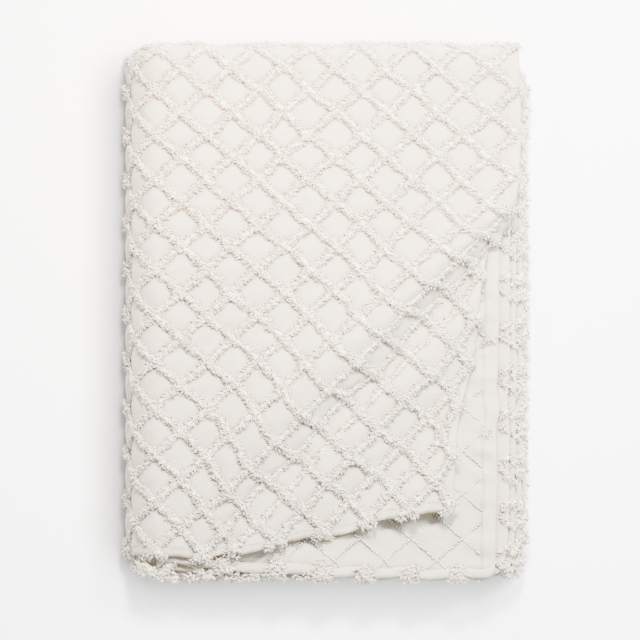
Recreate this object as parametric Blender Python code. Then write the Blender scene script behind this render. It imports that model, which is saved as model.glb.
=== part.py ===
"""A tufted cotton bedspread, folded into a flat rectangular stack.

The cloth is one sheet with turned hems. Its top layer lies face up, rounds the left side of
the stack down to the floor, and from there the sheet runs back and forth upwards until its
second hem lies under the top layer, reverse side up. The top layer also hangs down over the
back of the stack. Rows of tufts cross the sheet as a diamond lattice, and the top layer's
front right corner is drawn inwards in long diagonal folds.

Frame: metres, +Z up, +X to the right and +Y to the back of the stack, with the origin at the
middle of the underside's box.
"""
import math

import bmesh
import bpy
import numpy as np
from mathutils import Vector

MM = 0.001

# Cloth
CLOTH_THICKNESS = 1.8 * MM
TUFT_HEIGHT = 4.5 * MM
LAYERS = 16
LAYER_PITCH = 3.9 * MM

# Lattice: a grid of quarter diamonds, with every fourth diagonal raised as a row of tufts
DIAMOND_WIDTH = 54.1 * MM
STEPS_PER_DIAMOND = 4
COLUMN_STEP = DIAMOND_WIDTH / STEPS_PER_DIAMOND
FIRST_COLUMN_X = -180.9 * MM
FIRST_ROW_Y = 258.8 * MM
ROW_STEP = 11.6 * MM
ROW_GROWTH = 0.0105 * MM

# Top layer, in lattice steps: columns run to the right and rows to the front
SHOULDER_COLUMN = 1
LAST_COLUMN = 27
HEM_COLUMN = 28.3
LEFT_WRAP_STEPS = 7
LAST_ROW = 42
HEM_ROW = 42.6
BACK_FLAP_STEPS = 6
BACK_STEP = 11.6 * MM
CORNER_SQUARENESS = 3.2
LOWEST_TUFTED_STEP = 5
CORNER_TUFT_SHARE = 0.35

# How far the cloth stands out past its shoulder, and how high, down the left side
LEFT_PROFILE_COLUMNS = ("out", "height")
LEFT_PROFILE = [
    (0.0, 60.5),
    (14.0, 59.0),
    (27.0, 52.5),
    (35.0, 42.5),
    (38.5, 34.0),
    (37.5, 28.5),
    (41.0, 22.0),
    (45.5, 13.0),
    (43.0, 4.6),
    (33.0, 0.9),
]

# The same down the back
BACK_PROFILE_COLUMNS = ("out", "height")
BACK_PROFILE = [
    (0.0, 60.5),
    (10.0, 59.3),
    (18.0, 54.0),
    (22.0, 45.0),
    (22.6, 32.0),
    (21.5, 18.0),
    (22.4, 4.0),
]

# The drawn-in corner: one row for each diagonal band of diamonds, counted from the main ridge
DRAPE_COLUMNS = ("band", "drawn_left", "drawn_back", "lift")
DRAPE = [
    (-3, 0.0, 0.0, 0.0),
    (-2, 0.0, 0.0, 1.5),
    (-1, 1.0, 0.0, 7.0),
    (0, 4.0, 1.0, 16.0),
    (1, 12.5, 20.0, 9.0),
    (2, 26.0, 34.0, 0.5),
    (3, 35.0, 38.0, 7.0),
    (4, 37.0, 47.0, 4.5),
    (5, 43.0, 52.0, 0.5),
    (6, 53.0, 57.0, 8.0),
    (7, 59.0, 60.0, 10.0),
    (9, 63.0, 61.0, 9.0),
]
MAIN_RIDGE_SUM = 40
SLIDE_PER_BAND = 4.1 * MM
SLIDE_RANGE = (-1.5, 6.0)
LIFT_RANGE = (2.0, 10.0)
LIFT_LEFT_AT_END = 0.3
DRAPE_START_COLUMN = 1
DRAPE_FULL_COLUMN = 9

# Folds at the right side, from the top one down: distance from the middle to each fold
RIGHT_FOLD_COLUMNS = ("at_back", "at_middle", "at_front")
RIGHT_FOLDS = [
    (193.0, 191.0, 189.5),
    (199.5, 198.5, 197.0),
    (203.0, 205.5, 202.5),
    (209.5, 207.0, 208.0),
    (205.0, 210.0, 205.5),
    (209.0, 205.0, 208.5),
    (203.5, 207.5, 204.0),
]
SECOND_HEM_X = (182.0, 180.0, 176.5)
RIGHT_CORNER_START = 232.0 * MM
RIGHT_CORNER_DEPTH = 17.0 * MM

# Front edge of every layer under the top one, from the second layer down. The second one
# draws back towards the left and bares the layers under it
FRONT_EDGE_COLUMNS = ("at_left", "at_right")
FRONT_EDGES = [
    (255.0, 277.5),
    (278.0, 275.5),
    (280.0, 276.5),
    (277.0, 274.0),
    (281.5, 277.0),
    (279.0, 275.0),
    (276.5, 278.0),
    (280.5, 274.5),
    (278.0, 276.5),
    (281.0, 273.5),
    (277.5, 276.0),
    (280.0, 274.0),
    (276.0, 277.0),
    (279.5, 274.5),
    (278.0, 275.5),
]

# Layers under the top one
STATIONS = (255.0, 190.0, 120.0, 50.0, -20.0, -90.0, -155.0, -210.0, -243.0, -263.0, -278.0)
HIDDEN_FOLD_CLEARANCE = 5.5 * MM
TOP_FOLD_CLEARANCE = 9.0 * MM
FOLD_SEGMENTS = 4
RUN_SEGMENTS = 2

COTTON_COLOUR = (0.86, 0.82, 0.75, 1.0)
COTTON_ROUGHNESS = 0.92


def clear_scene():
    for item in list(bpy.data.objects):
        bpy.data.objects.remove(item, do_unlink=True)


def cotton_material():
    """Undyed cotton, for the whole cloth."""
    material = bpy.data.materials.new("undyed_cotton")
    material.use_nodes = True
    shader = material.node_tree.nodes["Principled BSDF"]
    shader.inputs["Base Color"].default_value = COTTON_COLOUR
    shader.inputs["Roughness"].default_value = COTTON_ROUGHNESS
    shader.inputs["Metallic"].default_value = 0.0
    return material


def ease(value, start, end):
    """Goes smoothly from 0 at start to 1 at end."""
    t = min(max((value - start) / (end - start), 0.0), 1.0)
    return t * t * (3.0 - 2.0 * t)


def smooth_through(knots, values, at):
    """A smooth curve through values at rising knots, held level past both ends."""
    if at <= knots[0]:
        return values[0]
    if at >= knots[-1]:
        return values[-1]
    n = int(np.searchsorted(knots, at, side="right")) - 1
    before = max(n - 1, 0)
    after = min(n + 2, len(knots) - 1)
    width = knots[n + 1] - knots[n]
    slope_in = (values[n + 1] - values[before]) / (knots[n + 1] - knots[before]) * width
    slope_out = (values[after] - values[n]) / (knots[after] - knots[n]) * width
    t = (at - knots[n]) / width
    rise = t * t * (3.0 - 2.0 * t)
    return (values[n] + (values[n + 1] - values[n]) * rise
            + slope_in * t * (1.0 - t) ** 2 - slope_out * t * t * (1.0 - t))


class Profile:
    """A side of the stack, read by the length of cloth that has passed its shoulder."""

    def __init__(self, rows):
        points = np.array(rows) * MM
        lengths = np.hypot(*np.diff(points, axis=0).T)
        self.knots = np.concatenate(([0.0], np.cumsum(lengths)))
        self.out = points[:, 0]
        self.height = points[:, 1]

    def at(self, length):
        return (smooth_through(self.knots, self.out, length),
                smooth_through(self.knots, self.height, length))

    def out_at_height(self, height):
        """How far the side stands out at a height, taken on its rows."""
        return float(np.interp(-height, -self.height, self.out))


LEFT_SIDE = Profile(LEFT_PROFILE)
BACK_SIDE = Profile(BACK_PROFILE)
DRAPE_TABLE = np.array(DRAPE, dtype=float)
TOP_HEIGHT = LEFT_SIDE.height[0]


def row_y(row):
    """Place of a lattice row. The rows open out a little towards the front."""
    return FIRST_ROW_Y - ROW_STEP * row - ROW_GROWTH * row * row


def column_x(column):
    return FIRST_COLUMN_X + COLUMN_STEP * column


SHOULDER_X = column_x(SHOULDER_COLUMN)


def drape(column, row):
    """How far the cloth is drawn left and back and lifted at a place of the lattice."""
    band = (column + row - MAIN_RIDGE_SUM) / STEPS_PER_DIAMOND
    along = (row - column) / STEPS_PER_DIAMOND
    bands = DRAPE_TABLE[:, 0]
    left, back, lift = (smooth_through(bands, DRAPE_TABLE[:, n], band) * MM for n in (1, 2, 3))
    slide = min(max(along, SLIDE_RANGE[0]), SLIDE_RANGE[1])
    back -= SLIDE_PER_BAND * slide * ease(band, -1.0, 1.0)
    lift *= 1.0 - (1.0 - LIFT_LEFT_AT_END) * ease(along, *LIFT_RANGE)
    share = ease(column, DRAPE_START_COLUMN, DRAPE_FULL_COLUMN)
    return left * share, back * share, lift * share


def top_point(column, row):
    """A point of the top layer's middle surface, its left side, back flap or back left corner."""
    left_steps = max(SHOULDER_COLUMN - column, 0)
    back_steps = max(-row, 0)
    if left_steps == 0 and back_steps == 0:
        left, back, lift = drape(column, row)
        return Vector((column_x(column) - left, row_y(row) + back, TOP_HEIGHT + lift))
    ring = max(left_steps, back_steps)
    out_left, height_left = LEFT_SIDE.at(ring * COLUMN_STEP)
    out_back, height_back = BACK_SIDE.at(ring * BACK_STEP)
    if left_steps == 0:
        fall = drape(column, 0)
        return Vector((column_x(column) - fall[0], FIRST_ROW_Y + out_back, height_back))
    if back_steps == 0:
        return Vector((SHOULDER_X - out_left, row_y(row), height_left))
    if back_steps < left_steps:
        turn = 0.5 * back_steps / ring
    else:
        turn = 1.0 - 0.5 * left_steps / ring
    angle = turn * math.pi / 2.0
    power = 2.0 / CORNER_SQUARENESS
    return Vector((
        SHOULDER_X - out_left * math.cos(angle) ** power,
        FIRST_ROW_Y + out_back * math.sin(angle) ** power,
        height_left + (height_back - height_left) * turn,
    ))


def tuft_share(column, row):
    """How much of the tufts' height a lattice step has: all of it on a row of tufts.

    The hems are bare, and so is the cloth that turns in under the stack. In the back left
    corner the rows crowd together and lie lower.
    """
    if column > LAST_COLUMN - 1 or row > LAST_ROW - 1:
        return 0.0
    if column < SHOULDER_COLUMN - LOWEST_TUFTED_STEP:
        return 0.0
    rising = (column + row + 2) % STEPS_PER_DIAMOND == 0
    falling = (column - row - 2) % STEPS_PER_DIAMOND == 0
    if not rising and not falling:
        return 0.0
    return CORNER_TUFT_SHARE if column < SHOULDER_COLUMN and row < 0 else 1.0


def right_fold_x(pair, y):
    """Place of a fold at the right side, which rounds inwards at the front corner."""
    knots = np.array((STATIONS[-1], 0.0, STATIONS[0]))
    x = smooth_through(knots, np.array(RIGHT_FOLDS[pair])[::-1], y / MM) * MM
    return x - corner_inset(y)


def second_hem_x(y):
    knots = np.array((STATIONS[-1], 0.0, STATIONS[0]))
    return smooth_through(knots, np.array(SECOND_HEM_X)[::-1], y / MM) * MM


def corner_inset(y):
    past = max(-y - RIGHT_CORNER_START, 0.0) / (-STATIONS[-1] * MM - RIGHT_CORNER_START)
    return RIGHT_CORNER_DEPTH * (1.0 - math.sqrt(max(1.0 - past * past, 0.0)))


def layer_height(layer):
    """Middle height of a layer, counted from 1 at the bottom."""
    return CLOTH_THICKNESS / 2.0 + (layer - 1) * LAYER_PITCH


def left_fold_x(layer):
    """Place of a fold at the left side, inside the outer layer that rounds it."""
    middle = layer_height(layer) + LAYER_PITCH / 2.0
    clearance = TOP_FOLD_CLEARANCE if layer >= LAYERS - 3 else HIDDEN_FOLD_CLEARANCE
    return SHOULDER_X - LEFT_SIDE.out_at_height(middle + LAYER_PITCH / 2.0) + clearance


def fold_points(tip, layer, side):
    """Half a turn from one layer up to the next, to the right (side 1) or left (side -1)."""
    radius = LAYER_PITCH / 2.0
    for n in range(FOLD_SEGMENTS + 1):
        angle = math.pi * n / FOLD_SEGMENTS - math.pi / 2.0
        yield (tip - side * radius + side * radius * math.cos(angle),
               layer_height(layer) + radius + radius * math.sin(angle), layer + 0.5)


def run_points(start, end, layer):
    """Inner points of a layer's level run between two folds."""
    for n in range(1, RUN_SEGMENTS):
        yield (start + (end - start) * n / RUN_SEGMENTS, layer_height(layer), layer)


def hidden_section(y):
    """The section of the layers under the top one, from the bottom left up to the second hem.

    Each point is its place across, its height and its layer.
    """
    points = []
    x = left_fold_x(1) + HIDDEN_FOLD_CLEARANCE
    points.append((x, layer_height(1), 1))
    for layer in range(1, LAYERS - 1):
        going_right = layer % 2 == 1
        if going_right:
            pair = len(RIGHT_FOLDS) - 1 - (layer - 1) // 2
            turn = list(fold_points(right_fold_x(pair, y), layer, 1))
        else:
            turn = list(fold_points(left_fold_x(layer), layer, -1))
        points += run_points(x, turn[0][0], layer)
        points += turn
        x = turn[-1][0]
    points += run_points(x, second_hem_x(y), LAYERS - 1)
    points.append((second_hem_x(y), layer_height(LAYERS - 1), LAYERS - 1))
    return points


def front_edge_y(x, layer):
    """Place of a layer's front edge, between two layers in the middle of a fold."""
    share = min(max((x - SHOULDER_X) / (RIGHT_FOLDS[0][1] * MM - SHOULDER_X), 0.0), 1.0)
    share = 1.0 - (1.0 - share) ** 3
    depth = LAYERS - 1 - layer
    row = FRONT_EDGES[int(math.floor(depth))]
    next_row = FRONT_EDGES[int(math.ceil(depth))]
    left = (row[0] + next_row[0]) / 2.0
    right = (row[1] + next_row[1]) / 2.0
    return -(left + (right - left) * share) * MM


def add_top_layer(bm):
    """The lattice grid of the top layer. Returns its tufted points and its lowest left column."""
    columns = list(range(SHOULDER_COLUMN - LEFT_WRAP_STEPS, LAST_COLUMN + 1)) + [HEM_COLUMN]
    rows = list(range(-BACK_FLAP_STEPS, LAST_ROW + 1)) + [HEM_ROW]
    grid = {}
    tufted = {}
    for c, column in enumerate(columns):
        for r, row in enumerate(rows):
            if row < 0 and SHOULDER_COLUMN - column > BACK_FLAP_STEPS:
                continue
            grid[c, r] = bm.verts.new(top_point(column, row))
            tufted[grid[c, r]] = tuft_share(column, row)
    for c, r in list(grid):
        corners = [grid.get(key) for key in ((c, r), (c + 1, r), (c + 1, r + 1), (c, r + 1))]
        if None in corners:
            continue
        a, b, d, e = corners
        falling = (columns[c] // 2 + rows[r] // 2) % 2 == 0
        if falling:
            bm.faces.new((a, d, b))
            bm.faces.new((a, e, d))
        else:
            bm.faces.new((a, e, b))
            bm.faces.new((b, e, d))
    lowest = [grid[0, r] for r in range(len(rows)) if (0, r) in grid]
    return tufted, lowest


def add_hidden_layers(bm):
    """The back-and-forth layers. Returns the column that continues the left side."""
    sections = [hidden_section(y * MM) for y in STATIONS]
    columns = []
    for n in range(len(sections[0])):
        column = []
        for y, section in zip(STATIONS, sections):
            x, z, layer = section[n]
            place = front_edge_y(x, layer) if y == STATIONS[-1] else y * MM
            column.append(bm.verts.new((x, place, z)))
        columns.append(column)
    for one, two in zip(columns, columns[1:]):
        for k in range(len(one) - 1):
            bm.faces.new((one[k], two[k], two[k + 1], one[k + 1]))
    return columns[0]


def join_columns(bm, upper, lower):
    """Joins the fine column of the left side to the coarse column of the bottom layer."""
    a = 0
    b = 0
    while a < len(upper) - 1 or b < len(lower) - 1:
        step_upper = b == len(lower) - 1
        if a < len(upper) - 1 and b < len(lower) - 1:
            step_upper = upper[a + 1].co.y > lower[b + 1].co.y
        if step_upper:
            bm.faces.new((upper[a], lower[b], upper[a + 1]))
            a += 1
        else:
            bm.faces.new((upper[a], lower[b], lower[b + 1]))
            b += 1


def thicken(bm, tufted):
    """Turns the middle surface into cloth, with its tuft rows raised on the face side."""
    bm.normal_update()
    half = CLOTH_THICKNESS / 2.0
    faces = list(bm.faces)
    rims = [edge for edge in bm.edges if edge.is_boundary]
    reverse = {}
    for vert in list(bm.verts):
        reverse[vert] = bm.verts.new(vert.co - vert.normal * half)
    for face in faces:
        bm.faces.new([reverse[vert] for vert in reversed(face.verts)])
    for edge in rims:
        loop = edge.link_loops[0]
        start = loop.vert
        end = loop.link_loop_next.vert
        bm.faces.new((end, start, reverse[start], reverse[end]))
    for vert in reverse:
        vert.co += vert.normal * (half + TUFT_HEIGHT * tufted.get(vert, 0.0))


def build_bedspread():
    bm = bmesh.new()
    tufted, left_column = add_top_layer(bm)
    bottom_column = add_hidden_layers(bm)
    join_columns(bm, left_column, bottom_column)
    thicken(bm, tufted)
    bmesh.ops.recalc_face_normals(bm, faces=bm.faces)
    bmesh.ops.triangulate(bm, faces=bm.faces)
    low = Vector([min(vert.co[n] for vert in bm.verts) for n in range(3)])
    high = Vector([max(vert.co[n] for vert in bm.verts) for n in range(3)])
    middle = (low + high) / 2.0
    bmesh.ops.translate(bm, verts=bm.verts, vec=(-middle.x, -middle.y, -low.z))
    mesh = bpy.data.meshes.new("bedspread")
    bm.to_mesh(mesh)
    bm.free()
    mesh.shade_smooth()
    mesh.set_sharp_from_angle(angle=math.radians(50.0))
    mesh.materials.append(cotton_material())
    bedspread = bpy.data.objects.new("bedspread", mesh)
    bpy.context.scene.collection.objects.link(bedspread)
    return bedspread


clear_scene()
build_bedspread()
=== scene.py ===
"""The looks of a folded tufted bedspread: its cloth, its clipped tufts and its sewing.

It is laid out as an add-on with one operator for each group of pieces and one for the stage,
and it is run as a script. The cloth is one sheet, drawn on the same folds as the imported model.
"""

import math

import bmesh
import bpy
import numpy as np
from bpy.props import FloatProperty, FloatVectorProperty, IntProperty, PointerProperty
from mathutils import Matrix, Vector


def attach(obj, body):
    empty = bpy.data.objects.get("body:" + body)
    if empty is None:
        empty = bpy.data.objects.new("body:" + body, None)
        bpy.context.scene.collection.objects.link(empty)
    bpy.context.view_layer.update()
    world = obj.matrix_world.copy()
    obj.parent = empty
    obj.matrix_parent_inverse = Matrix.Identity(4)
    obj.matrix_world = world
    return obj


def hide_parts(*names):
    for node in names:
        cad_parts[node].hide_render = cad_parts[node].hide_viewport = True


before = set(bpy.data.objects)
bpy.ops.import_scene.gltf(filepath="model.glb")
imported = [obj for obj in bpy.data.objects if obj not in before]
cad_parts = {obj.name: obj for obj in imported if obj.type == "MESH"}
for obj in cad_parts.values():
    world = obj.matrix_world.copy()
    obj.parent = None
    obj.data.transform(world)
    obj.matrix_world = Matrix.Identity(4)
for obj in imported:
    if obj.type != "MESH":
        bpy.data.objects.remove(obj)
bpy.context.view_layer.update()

bl_info = {
    "name": "Folded tufted bedspread",
    "version": (1, 0, 0),
    "blender": (4, 5, 0),
    "location": "3D View > Sidebar > Bedspread",
    "description": "Builds the cloth, tufts and sewing of a folded tufted bedspread",
    "category": "Object",
}

MM = 0.001
NODE = "bedspread"

# The drawing's frame is moved to the middle of the model's box by this much
SHIFT = np.array((2.456, -3.268, 0.0)) * MM

# Photograph: its middle in the drawing's frame, and the real width that it spans on the stack
PIXEL = 1.05 * MM
PHOTO_SIDE = 640
PHOTO_MIDDLE = np.array(((320.0 - 327.5) * PIXEL, (314.0 - 320.0) * PIXEL))

# Cloth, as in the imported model
CLOTH_THICKNESS = 1.5 * MM
LAYERS = 16
LAYER_PITCH = 3.9 * MM
FIRST_LAYER_HEIGHT = 0.9 * MM

# Lattice of quarter diamonds: columns run to the right and rows to the front
STEPS_PER_DIAMOND = 4
COLUMN_STEP = 54.1 * MM / STEPS_PER_DIAMOND
FIRST_COLUMN_X = -180.9 * MM
FIRST_ROW_Y = 258.8 * MM
ROW_STEP = 11.6 * MM
ROW_GROWTH = 0.0105 * MM
SHOULDER_COLUMN = 1.0
HEM_COLUMN = 28.3
LEFT_WRAP_STEPS = 7.0
HEM_ROW = 42.6
BACK_FLAP_STEPS = 6.0
BACK_STEP = 11.6 * MM
CORNER_SQUARENESS = 3.2
HEM_WIDTH_COLUMNS = 1.1
HEM_WIDTH_ROWS = 0.86

# How far the cloth stands out past its shoulder, and how high, in mm: left side, then back
LEFT_PROFILE = [
    (0.0, 60.5),
    (14.0, 59.0),
    (27.0, 52.5),
    (35.0, 42.5),
    (38.5, 34.0),
    (37.5, 28.5),
    (41.0, 22.0),
    (45.5, 13.0),
    (43.0, 4.6),
    (33.0, 0.9),
]
BACK_PROFILE = [
    (0.0, 60.5),
    (10.0, 59.3),
    (18.0, 54.0),
    (22.0, 45.0),
    (22.6, 32.0),
    (21.5, 18.0),
    (22.4, 4.0),
]

# The drawn-in corner, a row for each diagonal band of diamonds: band, then mm drawn left,
# drawn back and lifted
DRAPE = np.array([
    (-3, 0.0, 0.0, 0.0),
    (-2, 0.0, 0.0, 1.5),
    (-1, 1.0, 0.0, 9.0),
    (0, 4.0, 1.0, 21.0),
    (1, 11.0, 17.0, 9.5),
    (2, 22.0, 30.0, 0.5),
    (3, 32.0, 38.0, 11.0),
    (4, 37.0, 46.0, 4.5),
    (5, 43.0, 52.0, 0.5),
    (6, 53.0, 57.0, 10.0),
    (7, 59.0, 60.0, 11.0),
    (9, 63.0, 61.0, 9.0),
])
MAIN_RIDGE_SUM = 40.0
SLIDE_PER_BAND = 4.1 * MM
SLIDE_RANGE = (-1.5, 8.5)
LIFT_RANGE = (2.0, 10.0)
LIFT_LEFT_AT_END = 0.3
UNEVEN_LATTICE = 2.0 * MM
HEM_WAVE = 3.0 * MM
TUCK_COLUMNS = (25.0, 28.3)
TUCK_ROWS = (15.0, 20.0)
TUCK_DEPTH = 10.0 * MM
TUCK_DROP = 1.0 * MM
DRAPE_START_COLUMN = 1.0
DRAPE_FULL_COLUMN = 9.0

# Folds at the right side in mm, from the top one down: at the back, the middle and the front
RIGHT_FOLDS = [
    (193.0, 191.0, 189.5),
    (199.5, 198.5, 197.0),
    (203.0, 205.5, 202.5),
    (209.5, 207.0, 208.0),
    (205.0, 210.0, 205.5),
    (209.0, 205.0, 208.5),
    (203.5, 207.5, 204.0),
]
SECOND_HEM_X = (182.0, 180.0, 176.5)
FOLD_KNOTS = np.array((-278.0, 0.0, 255.0)) * MM
RIGHT_CORNER_START = 232.0 * MM
RIGHT_CORNER_DEPTH = 17.0 * MM
LEFT_CORNER_START = -150.0 * MM
LEFT_CORNER_WIDTH = 54.0 * MM
LEFT_CORNER_DEPTH = 19.0 * MM
HIDDEN_BACK_Y = 255.0 * MM

# Front edge of every layer under the top one in mm, from the second down: left and right end.
# The second one draws back towards the left and bares the layers under it
FRONT_EDGES = [
    (262.0, 279.0),
    (278.0, 275.5),
    (280.0, 276.5),
    (277.0, 274.0),
    (281.5, 277.0),
    (279.0, 275.0),
    (276.5, 278.0),
    (280.5, 274.5),
    (278.0, 276.5),
    (281.0, 273.5),
    (277.5, 276.0),
    (280.0, 274.0),
    (276.0, 277.0),
    (279.5, 274.5),
    (278.0, 275.5),
]
HIDDEN_FOLD_CLEARANCE = 5.5 * MM
TOP_FOLD_CLEARANCE = 9.0 * MM

# Tufts and sewing: where rings lie along a strand and how wide they are, where rows reach the
# second layer's front hem, and a crossing of the stitch lines on its reverse, in mm
STRAND_RINGS = ((0.5, 1.15), (1.0, 0.8))
FLATNESS = 0.72
CORE_SHARE = 0.84
LOWEST_STRAND = 0.3 * MM
HEM_PUFFS = (-109.0, -54.0, -5.0, 39.0, 88.0, 137.0)
HEM_TUFTS = ((171.7, -27.3), (167.5, -127.0))
REVERSE_NODE = (87.7, -236.0)
FOLD_SEGMENTS = 6
RUN_SEGMENTS = 5
LAST_RUN_SEGMENTS = 44
# Painted shadow on the floor: the way that its occlusion looks, towards the lights, and the tone that
# it darkens to
LIGHT_SIDE = (0.72, 0.3, 0.62)
SHADOW_GLOW = (0.1, 0.1, 0.1)
SECOND_HEM_WIDTH = 15.0 * MM
SECOND_CORNER_WIDTH = 15.0 * MM
SECOND_CORNER_DEPTH = 13.0 * MM

# Section of the second layer's right hem in mm: distance past its seam, and height
SECOND_HEM_RELIEF = [
    (-1.2, 0.0),
    (0.0, -0.8),
    (1.2, 0.8),
    (4.0, 1.1),
    (7.5, 0.9),
    (10.5, 1.0),
    (13.0, 0.9),
    (15.0, 0.3),
]


def ease(value, start, end):
    """Goes smoothly from 0 at start to 1 at end."""
    t = np.clip((np.asarray(value, float) - start) / (end - start), 0.0, 1.0)
    return t * t * (3.0 - 2.0 * t)


def smooth_through(knots, values, at):
    """A smooth curve through values at rising knots, held level past both ends."""
    knots = np.asarray(knots, float)
    values = np.asarray(values, float)
    at = np.clip(np.asarray(at, float), knots[0], knots[-1])
    last = len(knots) - 1
    n = np.clip(np.searchsorted(knots, at, side="right") - 1, 0, last - 1)
    before = np.maximum(n - 1, 0)
    after = np.minimum(n + 2, last)
    width = knots[n + 1] - knots[n]
    slope_in = (values[n + 1] - values[before]) / (knots[n + 1] - knots[before]) * width
    slope_out = (values[after] - values[n]) / (knots[after] - knots[n]) * width
    t = (at - knots[n]) / width
    rise = t * t * (3.0 - 2.0 * t)
    return (values[n] + (values[n + 1] - values[n]) * rise
            + slope_in * t * (1.0 - t) ** 2 - slope_out * t * t * (1.0 - t))


def soft_noise(u, v, scale, seed):
    """A smooth uneven field between about -1 and 1, from a few crossed waves."""
    rng = np.random.default_rng(seed)
    total = 0.0
    for _ in range(5):
        angle = rng.uniform(0.0, math.pi)
        length = scale * rng.uniform(0.7, 1.5)
        phase = rng.uniform(0.0, 2.0 * math.pi)
        total = total + np.sin(
            (u * math.cos(angle) + v * math.sin(angle)) * 2.0 * math.pi / length + phase)
    return total / 3.0


class Profile:
    """A side of the stack, read by the length of cloth that has passed its shoulder."""

    def __init__(self, rows):
        points = np.array(rows) * MM
        lengths = np.hypot(*np.diff(points, axis=0).T)
        self.knots = np.concatenate(([0.0], np.cumsum(lengths)))
        self.out = points[:, 0]
        self.height = points[:, 1]

    def at(self, length):
        return (smooth_through(self.knots, self.out, length),
                smooth_through(self.knots, self.height, length))

    def out_at_height(self, height):
        return float(np.interp(-height, -self.height, self.out))


LEFT_SIDE = Profile(LEFT_PROFILE)
BACK_SIDE = Profile(BACK_PROFILE)
TOP_HEIGHT = LEFT_SIDE.height[0]


def row_y(row):
    """Place of a lattice row. The rows open out a little towards the front."""
    return FIRST_ROW_Y - ROW_STEP * row - ROW_GROWTH * row * row


def column_x(column):
    return FIRST_COLUMN_X + COLUMN_STEP * column


def row_at(y):
    """The lattice row at a place: the inverse of row_y."""
    return ((-ROW_STEP + np.sqrt(ROW_STEP ** 2 + 4.0 * ROW_GROWTH * (FIRST_ROW_Y - y)))
            / (2.0 * ROW_GROWTH))


SHOULDER_X = column_x(SHOULDER_COLUMN)


def drape(column, row):
    """How far the cloth is drawn left and back and lifted at a place of the lattice."""
    band = (column + row - MAIN_RIDGE_SUM) / STEPS_PER_DIAMOND
    along = (row - column) / STEPS_PER_DIAMOND
    left, back, lift = (smooth_through(DRAPE[:, 0], DRAPE[:, n], band) * MM for n in (1, 2, 3))
    slide = np.clip(along, *SLIDE_RANGE)
    back = back - SLIDE_PER_BAND * slide * ease(band, -1.0, 1.0)
    lift = lift * (1.0 - (1.0 - LIFT_LEFT_AT_END) * ease(along, *LIFT_RANGE))
    share = ease(column, DRAPE_START_COLUMN, DRAPE_FULL_COLUMN)
    tuck = ease(column, *TUCK_COLUMNS) * ease(row, *TUCK_ROWS)
    return left * share + TUCK_DEPTH * tuck, back * share, lift * share - TUCK_DROP * tuck


def top_surface(column, row):
    """Points of the top layer's middle surface, with its left side, back flap and corner."""
    column, row = np.broadcast_arrays(np.asarray(column, float), np.asarray(row, float))
    left_steps = np.maximum(SHOULDER_COLUMN - column, 0.0)
    back_steps = np.maximum(-row, 0.0)
    ring = np.maximum(left_steps, back_steps)
    out_left, height_left = LEFT_SIDE.at(ring * COLUMN_STEP)
    out_back, height_back = BACK_SIDE.at(ring * BACK_STEP)
    whole = np.maximum(ring, 1e-9)
    turn = np.where(back_steps < left_steps, 0.5 * back_steps / whole,
                    1.0 - 0.5 * left_steps / whole)
    turn = np.where(ring > 0.0, turn, 0.0)
    angle = turn * math.pi / 2.0
    power = 2.0 / CORNER_SQUARENESS
    left, back, lift = drape(np.maximum(column, SHOULDER_COLUMN), np.maximum(row, 0.0))
    x = column_x(np.maximum(column, SHOULDER_COLUMN)) - left
    y = row_y(np.maximum(row, 0.0)) + back
    x = x - out_left * np.maximum(np.cos(angle), 0.0) ** power
    y = y + out_back * np.maximum(np.sin(angle), 0.0) ** power
    z = height_left + (height_back - height_left) * turn + lift
    hem_wave = HEM_WAVE * ease(row, HEM_ROW - 5.0, HEM_ROW) * ease(column, 1.0, 6.0)
    y = y + 0.9 * hem_wave * soft_noise(column * 13.5, 0.0 * row, 62.0, 61)
    z = z + hem_wave * (0.4 + 0.6 * soft_noise(column * 13.5, 0.0 * row, 55.0, 62))
    loose = UNEVEN_LATTICE * ease(column, SHOULDER_COLUMN, SHOULDER_COLUMN + 4.0)
    x = x + loose * soft_noise(column * 13.5, row * 11.8, 95.0, 51)
    y = y + loose * soft_noise(column * 13.5, row * 11.8, 80.0, 52)
    return np.stack((x, y, z), axis=-1) + SHIFT


def top_normal(column, row):
    """Outward directions of the top layer, from small steps on its surface."""
    step = 0.02
    across = top_surface(column + step, row) - top_surface(column - step, row)
    ahead = top_surface(column, row + step) - top_surface(column, row - step)
    normal = np.cross(ahead, across)
    return normal / np.maximum(np.linalg.norm(normal, axis=-1, keepdims=True), 1e-12)


def row_distance(column, row):
    """Distance in mm to the nearest row of tufts on the flat cloth."""
    rising = (column + row + 2.0) / STEPS_PER_DIAMOND
    falling = (column - row - 2.0) / STEPS_PER_DIAMOND
    spacing = 36.0
    return np.minimum(np.abs(rising - np.round(rising)),
                      np.abs(falling - np.round(falling))) * spacing


def corner_inset(y):
    past = np.clip((-y - RIGHT_CORNER_START) / (-FOLD_KNOTS[0] - RIGHT_CORNER_START), 0.0, 1.0)
    return RIGHT_CORNER_DEPTH * (1.0 - np.sqrt(1.0 - past * past))


def right_fold_x(pair, y):
    """Place of a fold at the right side, with the small unevenness of a hand-laid stack."""
    x = smooth_through(FOLD_KNOTS, np.array(RIGHT_FOLDS[pair][::-1]) * MM, y)
    return x - corner_inset(y) + 1.0 * MM * soft_noise(y, pair * 0.05, 0.09, 11)


def second_hem_x(y):
    return (smooth_through(FOLD_KNOTS, np.array(SECOND_HEM_X[::-1]) * MM, y)
            + 1.3 * MM * soft_noise(y, 0.0 * y, 0.05, 12))


def layer_height(layer):
    """Middle height of a layer, counted from 1 at the bottom."""
    return FIRST_LAYER_HEIGHT + (layer - 1) * LAYER_PITCH


def left_fold_x(layer):
    middle = layer_height(layer) + LAYER_PITCH
    clearance = TOP_FOLD_CLEARANCE if layer >= LAYERS - 3 else HIDDEN_FOLD_CLEARANCE
    return SHOULDER_X - LEFT_SIDE.out_at_height(middle) + clearance


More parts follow.
